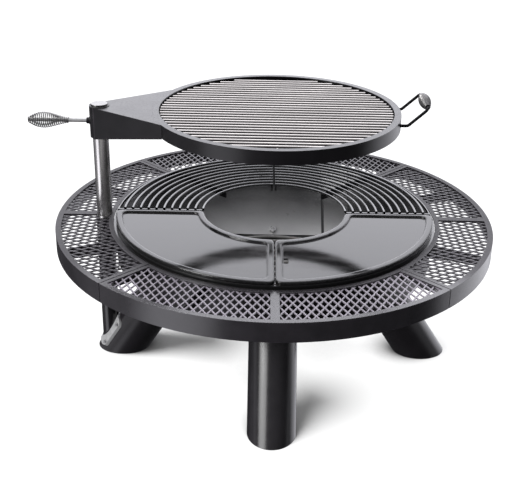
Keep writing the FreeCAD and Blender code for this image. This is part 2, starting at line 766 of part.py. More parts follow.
def arm_block(wall, floor, ceiling):
    """The arm's space between its sloping underside, raised by floor, and a level ceiling."""
    spread = math.radians(ARM_SPREAD)
    end_x = -GRILL_RADIUS * math.cos(spread)
    start_x = -POST_X
    start_z = HUB_BOTTOM + floor
    end_z = ARM_TOP - ARM_END_HEIGHT + floor
    slope = (end_z - start_z) / (end_x - start_x)
    far_z = start_z - slope * FAR
    side = [
        Vector(start_x - FAR, -FAR, far_z),
        Vector(start_x + FAR, -FAR, start_z + slope * FAR),
        Vector(start_x + FAR, -FAR, far_z - FAR),
        Vector(start_x - FAR, -FAR, far_z - FAR),
    ]
    under = Part.Face(Part.makePolygon(side + side[:1])).extrude(Vector(0, 2 * FAR, 0))
    low = HUB_BOTTOM - HUB_HEIGHT
    block = prism([point + UP * low for point in arm_plan(wall)], ceiling - low)
    return block.cut(under)


def arm_limits():
    """What the arm's sheets are cut back from: the hub and the grill ring."""
    return [
        upright(HUB_RADIUS, 0, ARM_TOP + HUB_HEIGHT, -POST_X),
        upright(GRILL_RADIUS, 0, ARM_TOP + HUB_HEIGHT),
    ]


def arm_shell():
    shell = arm_block(0.0, 0.0, ARM_TOP)
    hollow = arm_block(ARM_WALL, -HUB_HEIGHT, ARM_TOP - ARM_WALL)
    shell = shell.cut(hollow)
    for limit in arm_limits():
        shell = shell.cut(limit)
    return shell


def arm_floor():
    sheet = arm_block(ARM_WALL, 0.0, ARM_TOP).cut(arm_block(0.0, ARM_FLOOR, ARM_TOP))
    for limit in arm_limits():
        sheet = sheet.cut(limit)
    return sheet


# Clamp

def clamp_boss():
    boss = clamp_line(BOSS_RADIUS, 0, HUB_RADIUS + BOSS_LENGTH)
    boss = boss.cut(clamp_line(CLAMP_ROD_RADIUS + RUNNING_CLEAR, 0, HUB_RADIUS + BOSS_LENGTH))
    return boss.cut(upright(HUB_RADIUS, HUB_BOTTOM, ARM_TOP, -POST_X))


def clamp_pad_end():
    return POST_RADIUS + SEAT_GAP + CLAMP_PAD


def clamp_grip_start():
    return HUB_RADIUS + BOSS_LENGTH + CLAMP_ROD_REACH


def clamp_pad():
    return clamp_line(CLAMP_ROD_RADIUS, POST_RADIUS + SEAT_GAP, clamp_pad_end())


def clamp_rod():
    return clamp_line(CLAMP_ROD_RADIUS, clamp_pad_end(), clamp_grip_start() + CLAMP_GRIP_LENGTH)


# Wire coil grips

def grip_end_radius(rod_radius):
    """Radius of the coil's middle line where the wire lies on the rod."""
    return rod_radius + SEAT_GAP + GRIP_WIRE_RADIUS


def coil_point(turn, turns, length, end_radius, full_radius, fattest):
    share = turn / turns
    power = math.log(0.5) / math.log(fattest)
    radius = end_radius + (full_radius - end_radius) * math.sin(math.pi * share ** power)
    return ray(360 * turn) * radius + UP * (length * share)


def biarc(start, start_way, end, end_way):
    """Two arcs that leave start and reach end in the given directions."""
    span = end - start
    ways = start_way + end_way
    bend = 1 - start_way.dot(end_way)
    cross = span.dot(ways)
    arm = (math.sqrt(cross ** 2 + 2 * bend * span.dot(span)) - cross) / (2 * bend)
    first = start + start_way * arm
    last = end - end_way * arm
    joint = (first + last) * 0.5
    return [corner_arc(start, first, joint), corner_arc(joint, last, end)]


def corner_arc(start, corner, end):
    """The arc that touches the lines to a corner at two points equally far from it."""
    middle = (start + end) * 0.5
    half = (end - start).Length / 2
    rise = (corner - middle).Length
    top = middle + (corner - middle) * (half / rise * math.tan(math.atan2(rise, half) / 2))
    return Part.Arc(start, top, end).toShape()


def coil(turns, length, end_radius, full_radius, fattest):
    """One unbroken wire along +Z, wound about the Z axis on biarcs of a quarter turn."""
    steps = 4 * turns
    lead = 2 * GRIP_WIRE_RADIUS
    small = 1e-4

    def at(turn):
        return coil_point(turn, turns, length, end_radius, full_radius, fattest)

    def way(turn):
        low = max(turn - small, 0)
        high = min(turn + small, turns)
        return (at(high) - at(low)).normalize()

    turn_marks = [step / 4 for step in range(steps + 1)]
    edges = [Part.makeLine(at(0) - way(0) * lead, at(0))]
    for low, high in zip(turn_marks, turn_marks[1:]):
        edges += biarc(at(low), way(low), at(high), way(high))
    edges.append(Part.makeLine(at(turns), at(turns) + way(turns) * lead))
    path = Part.Wire(edges)
    section = Part.Wire(Part.Circle(at(0) - way(0) * lead, way(0), GRIP_WIRE_RADIUS).toShape())
    wire = path.makePipeShell([section], True, False)
    expected = math.pi * GRIP_WIRE_RADIUS ** 2 * path.Length
    print("coil least gap", round(coil_gap(at, turns), 2), "volume share", round(wire.Volume / expected, 4))
    return wire


def coil_gap(at, turns):
    """Least clear distance between stretches of the wire that lie over half a turn apart."""
    turn_marks = 48
    points = [at(mark / turn_marks) for mark in range(turn_marks * turns + 1)]
    least = min(
        (points[first] - points[second]).Length
        for first in range(len(points))
        for second in range(first + turn_marks // 2, min(first + 2 * turn_marks, len(points)))
    )
    return least - 2 * GRIP_WIRE_RADIUS


def clamp_grip():
    wire = coil(
        CLAMP_GRIP_TURNS, CLAMP_GRIP_LENGTH, grip_end_radius(CLAMP_ROD_RADIUS),
        CLAMP_GRIP_RADIUS, CLAMP_GRIP_FATTEST,
    )
    return aimed(wire, Vector(-POST_X - clamp_grip_start(), 0, CLAMP_Z), Vector(-1, 0, 0))


def lift_grip():
    wire = coil(LIFT_GRIP_TURNS, LIFT_GRIP_LENGTH, grip_end_radius(LIFT_ROD_RADIUS), LIFT_GRIP_RADIUS, 0.5)
    return aimed(wire, Vector(lift_x(), -LIFT_GRIP_LENGTH / 2, lift_z()), Vector(0, 1, 0))


# Grill ring, grill grate and lift handle

def grill_ring():
    outer = GRILL_RADIUS
    wall = outer - GRILL_BAND_WALL
    low = ARM_TOP - GRILL_BAND
    lip = ARM_TOP - GRILL_LIP_SHEET
    ledge = ARM_TOP - LEDGE_DROP
    ledge_low = ledge - LEDGE_SHEET
    return revolved([
        (outer, low), (outer, ARM_TOP), (outer - GRILL_LIP, ARM_TOP), (outer - GRILL_LIP, lip),
        (wall, lip), (wall, ledge), (wall - LEDGE_WIDTH, ledge), (wall - LEDGE_WIDTH, ledge_low),
        (wall, ledge_low), (wall, low),
    ])


def grill_grate():
    cross_z = ARM_TOP - LEDGE_DROP + SEAT_GAP + CROSS_ROD_RADIUS
    rod_z = cross_z + CROSS_ROD_RADIUS + GRILL_ROD_RADIUS - WELD_SINK
    radius = GRILL_RADIUS - GRILL_LIP - GRILL_ROD_END_GAP
    count = int(radius / GRILL_ROD_PITCH - 0.5)
    pieces = []
    for rod in range(-count, count):
        offset = (rod + 0.5) * GRILL_ROD_PITCH
        half = math.sqrt(radius ** 2 - (abs(offset) + GRILL_ROD_RADIUS) ** 2)
        pieces.append(cylinder(GRILL_ROD_RADIUS, Vector(-half, offset, rod_z), Vector(1, 0, 0), 2 * half))
    for place in (-CROSS_ROD_SPACING, 0, CROSS_ROD_SPACING):
        half = math.sqrt(radius ** 2 - (abs(place) + CROSS_ROD_RADIUS) ** 2)
        pieces.append(cylinder(CROSS_ROD_RADIUS, Vector(place, -half, cross_z), Vector(0, 1, 0), 2 * half))
    return fused(pieces)


def lift_root_x():
    return math.sqrt(GRILL_RADIUS ** 2 - (LIFT_SPAN / 2) ** 2)


def lift_x():
    return lift_root_x() + LIFT_STUB + LIFT_RUN


def lift_z():
    return ARM_TOP - GRILL_BAND / 2 + LIFT_RISE


def bent_rod(points, bend, radius):
    """A round rod through the points, with a tangent arc at each corner."""
    edges = []
    last = points[0]
    for before, corner, after in zip(points, points[1:], points[2:]):
        back = (before - corner).normalize()
        ahead = (after - corner).normalize()
        cut = bend / math.tan(back.getAngle(ahead) / 2)
        edges.append(Part.makeLine(last, corner + back * cut))
        edges.append(corner_arc(corner + back * cut, corner, corner + ahead * cut))
        last = corner + ahead * cut
    edges.append(Part.makeLine(last, points[-1]))
    section = Part.Wire(Part.Circle(points[0], points[1] - points[0], radius).toShape())
    return Part.Wire(edges).makePipeShell([section], True, False)


def lift_handle():
    half = LIFT_SPAN / 2
    low = ARM_TOP - GRILL_BAND / 2
    root = lift_root_x() - GRILL_BAND_WALL
    bend = lift_root_x() + LIFT_STUB
    rod = bent_rod(
        [
            Vector(root, -half, low), Vector(bend, -half, low), Vector(lift_x(), -half, lift_z()),
            Vector(lift_x(), half, lift_z()), Vector(bend, half, low), Vector(root, half, low),
        ],
        LIFT_BEND, LIFT_ROD_RADIUS,
    )
    return rod.cut(upright(GRILL_RADIUS, 0, ARM_TOP))


# Everything is made and written out

def save_table():
    sides = ("right", "left")
    for index, name in enumerate(PANELS):
        middle = QUARTER * index
        save("ring_panel_" + name, ring_panel(middle))
        for side, side_name in enumerate(sides):
            save("mesh_" + name + "_" + side_name, mesh_insert(middle, side))
            shift = QUARTER / 4 * (2 * side - 1)
            save("support_arm_" + name + "_" + side_name, support_arm(middle + shift))
    bolts, nuts = seam_fasteners()
    save("seam_bolts", bolts)
    save("seam_nuts", nuts)


def save_bowl():
    save("fire_bowl", fire_bowl())
    save("heat_shield", heat_shield())
    save("liner_plate", wide_liner_plate())
    save("liner_plate_right", liner_plate(LINER_SPLIT + LINER_GAP, LINER_SIDE))
    save("fire_grate", fire_grate())
    save("griddle_plate_left", griddle_plate())
    save("griddle_plate_right", right_griddle_plate())
    save("quarter_grate_right", quarter_grate())
    save("quarter_grate_left", mirrored(quarter_grate()))


def save_stand():
    for azimuth, name in zip(leg_azimuths(), PANELS):
        shape = left_leg() if name == "left" else turned(leg(), azimuth)
        save("leg_" + name, shape)
    bolts, nuts = leg_fasteners()
    save("leg_bolts", bolts)
    save("leg_nuts", nuts)
    save("post", post())
    save("post_cap", post_cap())
    save("post_socket", post_socket())
    save("post_saddle", saddle())
    save("saddle_bolts", saddle_bolts())


def save_arm():
    save("bush_upper", bush(ARM_TOP - BUSH_LENGTH, ARM_TOP))
    save("bush_lower", bush(HUB_BOTTOM, HUB_BOTTOM - BUSH_FLANGE))
    save("arm_hub", arm_hub())
    save("arm_shell", arm_shell())
    save("arm_floor", arm_floor())
    save("clamp_boss", clamp_boss())
    save("clamp_pad", clamp_pad())
    save("clamp_rod", clamp_rod())
    save("clamp_grip", clamp_grip())
    save("grill_ring", grill_ring())
    save("grill_grate", grill_grate())
    save("lift_handle", lift_handle())
    save("lift_grip", lift_grip())


os.makedirs("parts", exist_ok=True)
save_table()
save_bowl()
save_stand()
save_arm()
print("tilt", math.degrees(TILT), "foot circle", FOOT_CIRCLE, "post at", -POST_X, "bowl centre", SPHERE_Z)
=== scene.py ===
# %% [markdown]
# # Fire pit barbecue
# A round steel table carries a fire bowl in its middle. Griddle plates and grates lie on the bowl's
# rim, and a round grill hangs over the fire on an arm that slides and swings on a bright post.
# The shapes come from the CAD frame, so this lesson is about finishes, weld beads and light.

# %% Load the frame
import json
import math

import bmesh
import bpy
from mathutils import Matrix, Vector


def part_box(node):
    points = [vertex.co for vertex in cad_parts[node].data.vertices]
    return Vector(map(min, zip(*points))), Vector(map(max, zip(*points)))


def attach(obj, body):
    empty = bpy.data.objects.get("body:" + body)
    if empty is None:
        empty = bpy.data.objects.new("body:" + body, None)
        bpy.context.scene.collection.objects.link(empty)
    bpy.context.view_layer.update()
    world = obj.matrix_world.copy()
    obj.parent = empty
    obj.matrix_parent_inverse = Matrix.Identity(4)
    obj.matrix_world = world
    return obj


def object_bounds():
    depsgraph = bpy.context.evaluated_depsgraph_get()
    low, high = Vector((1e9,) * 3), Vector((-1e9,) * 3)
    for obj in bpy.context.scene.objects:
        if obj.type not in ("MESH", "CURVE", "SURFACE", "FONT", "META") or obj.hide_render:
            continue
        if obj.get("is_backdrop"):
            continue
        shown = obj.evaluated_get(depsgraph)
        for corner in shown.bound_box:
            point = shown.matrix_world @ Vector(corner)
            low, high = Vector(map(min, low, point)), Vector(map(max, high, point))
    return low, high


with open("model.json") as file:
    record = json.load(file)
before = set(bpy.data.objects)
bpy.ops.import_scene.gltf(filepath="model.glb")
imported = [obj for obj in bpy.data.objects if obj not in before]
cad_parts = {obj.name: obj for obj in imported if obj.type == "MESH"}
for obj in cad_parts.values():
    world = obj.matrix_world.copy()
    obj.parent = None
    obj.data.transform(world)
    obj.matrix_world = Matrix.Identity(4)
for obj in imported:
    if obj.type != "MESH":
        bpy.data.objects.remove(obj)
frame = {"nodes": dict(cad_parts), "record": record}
cad_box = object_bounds()
nodes = frame["nodes"]
print("pieces in the frame:", len(nodes))

# %% [markdown]
# ## Shader maths as Python
# A finish is a small sum: some noise, minus a threshold, times a depth. Drawn by hand, such a sum is
# a long row of Math nodes. A class that wraps a socket and answers to + - and * lets Python write
# the same nodes from a line that reads like the sum itself.


# %% A socket that takes part in sums
class Field:
    """An output socket. Sums and products of fields add Math nodes to their sheet."""

    def __init__(self, sheet, socket):
        self.sheet = sheet
        self.socket = socket

    def maths(self, operation, *values):
        return self.sheet.node("ShaderNodeMath", {"operation": operation}, dict(enumerate(values)))

    def __add__(self, other):
        return self.maths("ADD", self, other)

    def __radd__(self, other):
        return self.maths("ADD", other, self)

    def __sub__(self, other):
        return self.maths("SUBTRACT", self, other)

    def __rsub__(self, other):
        return self.maths("SUBTRACT", other, self)

    def __mul__(self, other):
        return self.maths("MULTIPLY", self, other)

    def __rmul__(self, other):
        return self.maths("MULTIPLY", other, self)


print("a field answers to + - and *")

# %% [markdown]
# A node tree is like a sheet of paper that nodes are laid on. One method lays any node: it sets what
# the node does first, and then fills its sockets with numbers or with links. Short names for noise,
# soft steps and mixes keep the recipes below readable.


# %% A sheet of nodes
class Sheet:
    """A node tree with one method that adds any node, and short names for the usual ones."""

    def __init__(self, tree):
        self.tree = tree

    def node(self, kind, settings=None, sockets=None, output=0):
        made = self.tree.nodes.new(kind)
        for name, value in (settings or {}).items():
            setattr(made, name, value)
        for name, value in (sockets or {}).items():
            self.feed(made.inputs[name], value)
        return Field(self, made.outputs[output])

    def feed(self, socket, value):
        if isinstance(value, Field):
            self.tree.links.new(value.socket, socket)
        else:
            socket.default_value = value

    def grain(self, place, scale, detail=2.0):
        """Noise between 0 and 1, with the given number of lumps in a metre."""
        return self.node("ShaderNodeTexNoise", {}, {"Vector": place, "Scale": scale, "Detail": detail})

    def between(self, value, low, high):
        """0 below low, 1 above high, and a soft step between them."""
        return self.node(
            "ShaderNodeMapRange", {"interpolation_type": "SMOOTHSTEP"},
            {"Value": value, "From Min": low, "From Max": high},
        )

    def mixed(self, mask, first, second):
        """The first colour where the mask is 0, and the second where it is 1."""
        return self.node("ShaderNodeMix", {"data_type": "RGBA"}, {0: mask, 6: first, 7: second}, 2)

    def stretched(self, place, scale):
        return self.node("ShaderNodeVectorMath", {"operation": "MULTIPLY"}, {0: place, 1: scale})

    def axis(self, place, index):
        """One coordinate of a vector, 0 to 2."""
        return self.node("ShaderNodeSeparateXYZ", {}, {0: place}, index)


print("a sheet lays nodes")

# %% [markdown]
# A finish is a sheet around one shader. Its noise is laid out in the part's own metres, so that it
# stays with a piece when a joint moves. Pressed and cut steel never has a perfectly sharp edge. The
# Bevel node rounds edges in the shading alone, and the angle between the rounded and the flat
# direction tells where an edge is, so that wear can gather there.


# %% A finish is a sheet around one shader
EDGE_SAMPLES = 4


class Finish(Sheet):
    """A material. Constants go straight on the shader's sockets."""

    def __init__(self, name, constants):
        self.material = bpy.data.materials.new(name)
        self.material.use_nodes = True
        super().__init__(self.material.node_tree)
        self.shader = self.tree.nodes["Principled BSDF"]
        self.wear(constants)

    def wear(self, values):
        for name, value in values.items():
            self.feed(self.shader.inputs[name], value)

    def place(self):
        """Where a point sits on the part, in metres: it stays with the piece when a joint moves."""
        return self.node("ShaderNodeTexCoord", {}, {}, 3)

    def facing_up(self):
        """1 on level faces, 0 on upright ones."""
        normal = self.node("ShaderNodeNewGeometry", {}, {}, 1)
        return self.between(self.axis(normal, 2), 0.3, 0.95)

    def rounded(self, radius):
        """The surface's direction as if its sharp edges had the given radius."""
        return self.node("ShaderNodeBevel", {"samples": EDGE_SAMPLES}, {"Radius": radius})

    def edges(self, radius):
        """1 along sharp edges, 0 on open faces."""
        flat = self.node("ShaderNodeNewGeometry", {}, {}, 1)
        sockets = {0: self.rounded(radius), 1: flat}
        alike = self.node("ShaderNodeVectorMath", {"operation": "DOT_PRODUCT"}, sockets, 1)
        return self.between(1 - alike, 0.01, 0.2)

    def bumped(self, height, depth, under):
        """The direction under, made uneven by a height between 0 and 1 that stands for a depth in metres."""
        return self.node("ShaderNodeBump", {}, {"Height": height, "Distance": depth, "Normal": under})


def tone(level, warm=0.0):
    """A near grey of the given brightness, a little warmer or cooler."""
    return (level * (1 + warm), level, level * (1 - warm), 1.0)


print("shader maths ready")

# %% [markdown]
# ## Powder coat
# Most of the steel is powder coated. The powder melts into a skin with the fine waviness of an
# orange's peel, it lies thinner and lighter along sharp edges, and dust settles on level faces.
# One function makes all these coats, because they differ only in tone, gloss, shine and peel.
# The table's level faces are duller beside and behind the fire than in front of it. The mesh panels
# there get a darker copy of the coat than the front ones: painted shade.


# %% One recipe for every coat
PEEL_LUMPS = 700
CLOUD_LUMPS = 22
SPECK_LUMPS = 2600
DUST_LUMPS = 160
WORN_WIDTH = 0.0016
COAT_ROUND = 0.0009
GLOSSY_TO_Y = -0.46
DULL_FROM_Y = -0.3


def lilac(level):
    """The coat's dark grey, which leans a little to red and blue."""
    return (level * 1.1, level, level * 1.16, 1.0)


def powder_coat(name, level, rough, shine=0.5, peel_depth=0.00006, dulled=0.0):
    coat = Finish(name, {"Specular IOR Level": shine})
    place = coat.place()
    peel = coat.grain(place, PEEL_LUMPS, 3)
    cloud = coat.grain(place, CLOUD_LUMPS, 4)
    pinch = coat.grain(place, SPECK_LUMPS, 2)
    worn = coat.edges(WORN_WIDTH)
    base = coat.mixed(coat.between(cloud, 0.3, 0.7), lilac(level * 0.85), lilac(level * 1.15))
    speck = coat.between(pinch, 0.66, 0.76)
    base = coat.mixed(speck * 0.3, base, lilac(level * 1.8 + 0.01))
    base = coat.mixed(worn * 0.5, base, lilac(level * 2.5 + 0.05))
    dust = coat.facing_up() * coat.between(coat.grain(place, DUST_LUMPS, 5), 0.4, 0.8)
    base = coat.mixed(dust * 0.02, base, tone(0.35, 0.03))
    gloss = rough + (cloud - 0.5) * 0.1 + (peel - 0.5) * 0.06 + dust * 0.1
    behind = coat.between(coat.axis(place, 1), GLOSSY_TO_Y, DULL_FROM_Y)
    gloss = gloss + coat.facing_up() * behind * dulled
    coat.wear({
        "Base Color": base,
        "Roughness": gloss,
        "Normal": coat.bumped(peel, peel_depth, coat.rounded(COAT_ROUND)),
    })
    return coat.material


finishes = {
    "table_paint": powder_coat("charcoal_table_coat", level=0.026, rough=0.24, shine=0.7, dulled=0.4),
    "mesh_paint": powder_coat("grey_mesh_coat", level=0.2, rough=0.36),
    "frame_paint": powder_coat("black_frame_coat", level=0.008, rough=0.42, shine=0.3),
    "leg_paint": powder_coat("black_leg_coat", level=0.009, rough=0.2, shine=0.55, peel_depth=0.00003),
    "arm_paint": powder_coat("black_arm_coat", level=0.01, rough=0.3, shine=0.4),
    "handle_paint": powder_coat("black_handle_coat", level=0.006, rough=0.5, shine=0.08),
}
# A darker copy of the mesh coat, for the panels away from the front: painted shade.
mesh_coat_painted_shade = powder_coat("grey_mesh_coat_painted_shade", level=0.042, rough=0.4, shine=0.3)
print("coats:", len(finishes) + 1)

# %% [markdown]
# ## Enamel
# The bowl is enamelled sheet: a glassy black skin with tiny pits and a little ash. Up-facing faces
# get painted light that grows lower down, most on the liner plates; other faces stay near black as
# painted shade. A clear coat over the black gives its depth, and ash takes that coat away.


# %% Bowl and liner enamel
# Heights in metres: the painted light is full below the first and gone above the second.
PAINTED_LIGHT_FULL_BELOW = 0.19
PAINTED_LIGHT_GONE_ABOVE = 0.36
PIT_LUMPS = 900
ENAMEL_ROUND = 0.0012


def enamel(name, top_level, painted_light_level, rough):
    """Black facing down, as painted shade; facing up, painted light rising from top_level at the rim to the
    level below, with ash specks.
    """
    skin = Finish(name, {"IOR": 1.5, "Coat Roughness": 0.12})
    place = skin.place()
    cloud = skin.grain(place, 9, 5)
    pits = skin.between(skin.grain(place, PIT_LUMPS, 2), 0.62, 0.72)
    ripple = skin.grain(place, 120, 3)
    # Painted light goes on up-facing faces only; the rest keeps a near-black painted shade.
    faces_up_painted_light = skin.facing_up()
    # The painted light grows stronger lower down.
    low = 1 - skin.between(skin.axis(place, 2), PAINTED_LIGHT_FULL_BELOW, PAINTED_LIGHT_GONE_ABOVE)
    dusted = low * skin.between(skin.grain(place, 70, 6), 0.3, 0.8)
    base = skin.mixed(low, tone(top_level), tone(painted_light_level))
    base = skin.mixed(skin.between(cloud, 0.3, 0.8) * 0.25, base, tone(painted_light_level * 0.5))
    base = skin.mixed(pits * 0.3 + dusted * 0.1, base, tone(painted_light_level * 0.7))
    skin.wear({
        "Base Color": skin.mixed(faces_up_painted_light, tone(0.006), base),
        "Roughness": rough + (cloud - 0.5) * 0.2 + dusted * 0.1,
        "Coat Weight": 0.5 - dusted * 0.3,
        "Normal": skin.bumped(ripple - pits * 0.6, 0.00012, skin.rounded(ENAMEL_ROUND)),
    })
    return skin.material


# The liner's painted light rises to a pale grey low down; the bowl's stays faint.
finishes["bowl_enamel"] = enamel("black_bowl_enamel", top_level=0.012, painted_light_level=0.03, rough=0.34)
finishes["liner_enamel"] = enamel("liner_enamel_painted_light", top_level=0.008, painted_light_level=0.85, rough=0.3)
print("enamels made")

# %% [markdown]
# ## Griddle plates
# The plates are iron, blackened and oiled until they shine like dark glass. Their mirror is never
# even, because oil dries in long smears, so stretched noise moves the roughness a little. Their rims
# are softly rounded, which a wide Bevel radius shows.


# %% Oiled griddle iron
PLATE_ROUND = 0.007
SMEAR_STRETCH = (3.0, 9.0, 1.0)
PORE_LUMPS = 1500


def oiled_iron(name):
    iron = Finish(name, {"IOR": 1.5})
    place = iron.place()
    smear = iron.grain(iron.stretched(place, SMEAR_STRETCH), 3, 5)
    cast = iron.grain(place, 420, 4)
    pore = iron.between(iron.grain(place, PORE_LUMPS, 2), 0.68, 0.76)
    worn = iron.edges(0.0012)
    base = iron.mixed(iron.between(smear, 0.3, 0.7), tone(0.004), tone(0.01, 0.02))
    base = iron.mixed(worn * 0.2, base, tone(0.05))
    iron.wear({
        "Base Color": base,
        "Roughness": 0.06 + iron.between(smear, 0.35, 0.75) * 0.05 + pore * 0.08,
        "Normal": iron.bumped(cast - pore * 0.5, 0.00002, iron.rounded(PLATE_ROUND)),
    })
    return iron.material


finishes["plate_enamel"] = oiled_iron("oiled_griddle_iron")
print("griddle plates oiled")

# %% [markdown]
# ## Fire grate
# The grate under the fire is bare iron. Heat leaves grey scale on it, with rust between. Rust is no
# metal, so it lowers Metallic and raises the roughness where it lies.


# %% Scaled fire iron
SCALE_LUMPS = 260
RUST_LUMPS = 45
RUST_BROWN = (0.13, 0.055, 0.025, 1.0)
IRON_ROUND = 0.001


def rough_iron(name):
    iron = Finish(name, {"IOR": 1.6})
    place = iron.place()
    scale = iron.grain(place, SCALE_LUMPS, 6)
    rust = iron.between(iron.grain(place, RUST_LUMPS, 6), 0.52, 0.7)
    base = iron.mixed(rust * 0.35, tone(0.3, 0.02), RUST_BROWN)
    iron.wear({
        "Base Color": base,
        "Roughness": 0.55 + (scale - 0.5) * 0.3 + rust * 0.15,
        "Metallic": 0.5 - rust * 0.4,
        "Normal": iron.bumped(scale, 0.0004, iron.rounded(IRON_ROUND)),
    })
    return iron.material


finishes["fire_iron"] = rough_iron("scaled_fire_iron")
print("fire grate scaled")

# %% [markdown]
# ## Bright steel
# Tube and rod are drawn through a die, which leaves fine lines along their length. Noise that is
# stretched along that direction gives the lines. They feed roughness and a very shallow bump, so the
# highlights break up into streaks, as they do on the real post and grill rods.


# %% Drawn steel with lines along one direction
HANDLED_LUMPS = 25
STEEL_ROUND = 0.0005
BROAD_SHARE = 0.2


def drawn_steel(name, level, rough, lines, depth=0.00003, warm=0.02):
    """lines is how many noise lumps a metre holds along x, y and z: few along the drawing direction."""
    steel = Finish(name, {})
    place = steel.place()
    line = steel.grain(steel.stretched(place, lines), 1, 3)
    broad = steel.grain(steel.stretched(place, [count * BROAD_SHARE for count in lines]), 1, 2)
    hand = steel.grain(place, HANDLED_LUMPS, 4)
    base = steel.mixed(steel.between(line, 0.3, 0.7), tone(level * 0.8, warm), tone(level * 1.1, warm))
    base = steel.mixed(steel.between(hand, 0.5, 0.8) * 0.2, base, tone(level * 0.7, 0.03))
    steel.wear({
        "Base Color": base,
        "Metallic": 1.0,
        "Roughness": rough + (line - 0.5) * 0.12 + (broad - 0.5) * 0.1 + (hand - 0.5) * 0.08,
        "Normal": steel.bumped(line + broad, depth, steel.rounded(STEEL_ROUND)),
    })
    return steel.material


ALONG_Z = (700.0, 700.0, 4.0)
ALONG_X = (5.0, 300.0, 300.0)
WIRE_GRAIN = (400.0, 400.0, 400.0)
CAP_GRAIN = (300.0, 300.0, 300.0)
rod_lines = {"lines": ALONG_X, "depth": 0.000003, "warm": 0.05}
finishes["post_steel"] = drawn_steel("drawn_post_steel", level=0.7, rough=0.27, lines=ALONG_Z)
finishes["grill_steel"] = drawn_steel("drawn_grill_rods", level=0.62, rough=0.15, **rod_lines)
finishes["grip_chrome"] = drawn_steel("plated_coil_wire", level=0.26, rough=0.3, lines=WIRE_GRAIN)
cap_steel = drawn_steel("turned_cap_steel", level=0.2, rough=0.26, lines=CAP_GRAIN)
print("bright steels made")

# %% [markdown]
# ## Quarter grates
# The grates on the bowl's rim are steel rod with a thin black oxide skin. Such a skin is glassy: it
# is nearly black, yet each rod carries one narrow, bright line of light. A high index of refraction
# gives that line without making the rod itself lighter.


# %% Grates of blackened rod
RING_LINE_LUMPS = 900.0
ROD_GRAIN_LUMPS = 800
OXIDE_BLUE = (0.010, 0.011, 0.014, 1.0)
ROD_ROUND = 0.0006


def blackened_rod(name):
    """Steel with a thin, glassy black oxide skin, whose highlights are narrow and bright."""
    rod = Finish(name, {"IOR": 2.0})
    place = rod.place()
    along = rod.node("ShaderNodeVectorMath", {"operation": "LENGTH"}, {0: place}, 1)
    sockets = {"W": along, "Scale": RING_LINE_LUMPS, "Detail": 3.0}
    line = rod.node("ShaderNodeTexNoise", {"noise_dimensions": "1D"}, sockets)
    hand = rod.grain(place, 60, 4)
    blue = rod.mixed(rod.between(hand, 0.3, 0.7), tone(0.006), OXIDE_BLUE)
    rod.wear({
        "Base Color": rod.mixed(rod.edges(0.001) * 0.4, blue, tone(0.06)),
        "Roughness": 0.1 + (hand - 0.5) * 0.06 + (line - 0.5) * 0.04,
        "Normal": rod.bumped(rod.grain(place, ROD_GRAIN_LUMPS, 3), 0.00003, rod.rounded(ROD_ROUND)),
    })
    return rod.material


finishes["grate_rods"] = blackened_rod("blackened_grate_rods")
print("grate rods blackened")

# %% [markdown]
# ## Bolts
# Bolts and nuts are zinc plated. Zinc sets in small crystals that each lean their own way, so a
# Voronoi texture gives every crystal its own grey, and handling dulls it in clouds.


# %% Zinc with its crystals
ZINC_CLOUD_LUMPS = 90
ZINC_ROUND = 0.0008


def spangled_zinc(name, level, rough, spangle):
    zinc = Finish(name, {})
    place = zinc.place()
    sockets = {"Vector": place, "Scale": spangle, "Randomness": 1.0}
    cell = zinc.node("ShaderNodeTexVoronoi", {}, sockets, 1)
    shade = zinc.axis(cell, 0)
    cloud = zinc.grain(place, ZINC_CLOUD_LUMPS, 4)
    base = zinc.mixed(shade, tone(level * 0.75), tone(level * 1.15))
    zinc.wear({
        "Base Color": zinc.mixed(zinc.between(cloud, 0.5, 0.8) * 0.3, base, tone(level * 0.5, 0.04)),
        "Metallic": 0.9 - zinc.between(cloud, 0.5, 0.8) * 0.3,
        "Roughness": rough + (shade - 0.5) * 0.15 + (cloud - 0.5) * 0.2,
        "Normal": zinc.bumped(cloud, 0.0001, zinc.rounded(ZINC_ROUND)),
    })
    return zinc.material


finishes["bolt_zinc"] = spangled_zinc("bolt_zinc_plate", level=0.5, rough=0.3, spangle=500.0)
print("bolts plated")

# %% [markdown]
# ## Plate, plastic and brass
# The saddle is plain grey plate with mill marks, and so is the clamp's rod. The bushes are glide
# plastic, and the clamp's pad is turned brass. All carry fine marks from a tool, so one recipe with
# closely stacked lines serves them, and only colour and gloss differ.


# %% Plain stock with tool marks
MARK_STRETCH = (30.0, 30.0, 2000.0)
STOCK_CLOUD_LUMPS = 120
STOCK_ROUND = 0.0004
BRASS_LIGHT = (0.72, 0.5, 0.2, 1.0)
BRASS_DARK = (0.5, 0.32, 0.12, 1.0)


def plain_stock(name, colour, dark, metal, rough):
    stock = Finish(name, {"IOR": 1.48})
    place = stock.place()
    mark = stock.grain(stock.stretched(place, MARK_STRETCH), 1, 2)
    cloud = stock.grain(place, STOCK_CLOUD_LUMPS, 3)
    stock.wear({
        "Base Color": stock.mixed(stock.between(cloud, 0.3, 0.7), dark, colour),
        "Metallic": metal,
        "Roughness": rough + (mark - 0.5) * 0.15,
        "Normal": stock.bumped(mark, 0.00004, stock.rounded(STOCK_ROUND)),
    })
    return stock.material


finishes["saddle_steel"] = plain_stock("grey_saddle_plate", tone(0.5), tone(0.42), metal=0.2, rough=0.4)
finishes["bush_plastic"] = plain_stock("black_glide_plastic", tone(0.045), tone(0.03), metal=0.0, rough=0.45)
finishes["pad_brass"] = plain_stock("turned_brass", BRASS_LIGHT, BRASS_DARK, metal=1.0, rough=0.3)
print("finishes:", len(finishes))

# %% [markdown]
# ## Each CAD piece gets its finish
# The record names a finish slot for every piece, so one loop dresses them all. A few pieces then
# take a closer match: the turned cap, the clamp's grey rod, and the mesh away from the front,
# whose darker coat is painted shade.

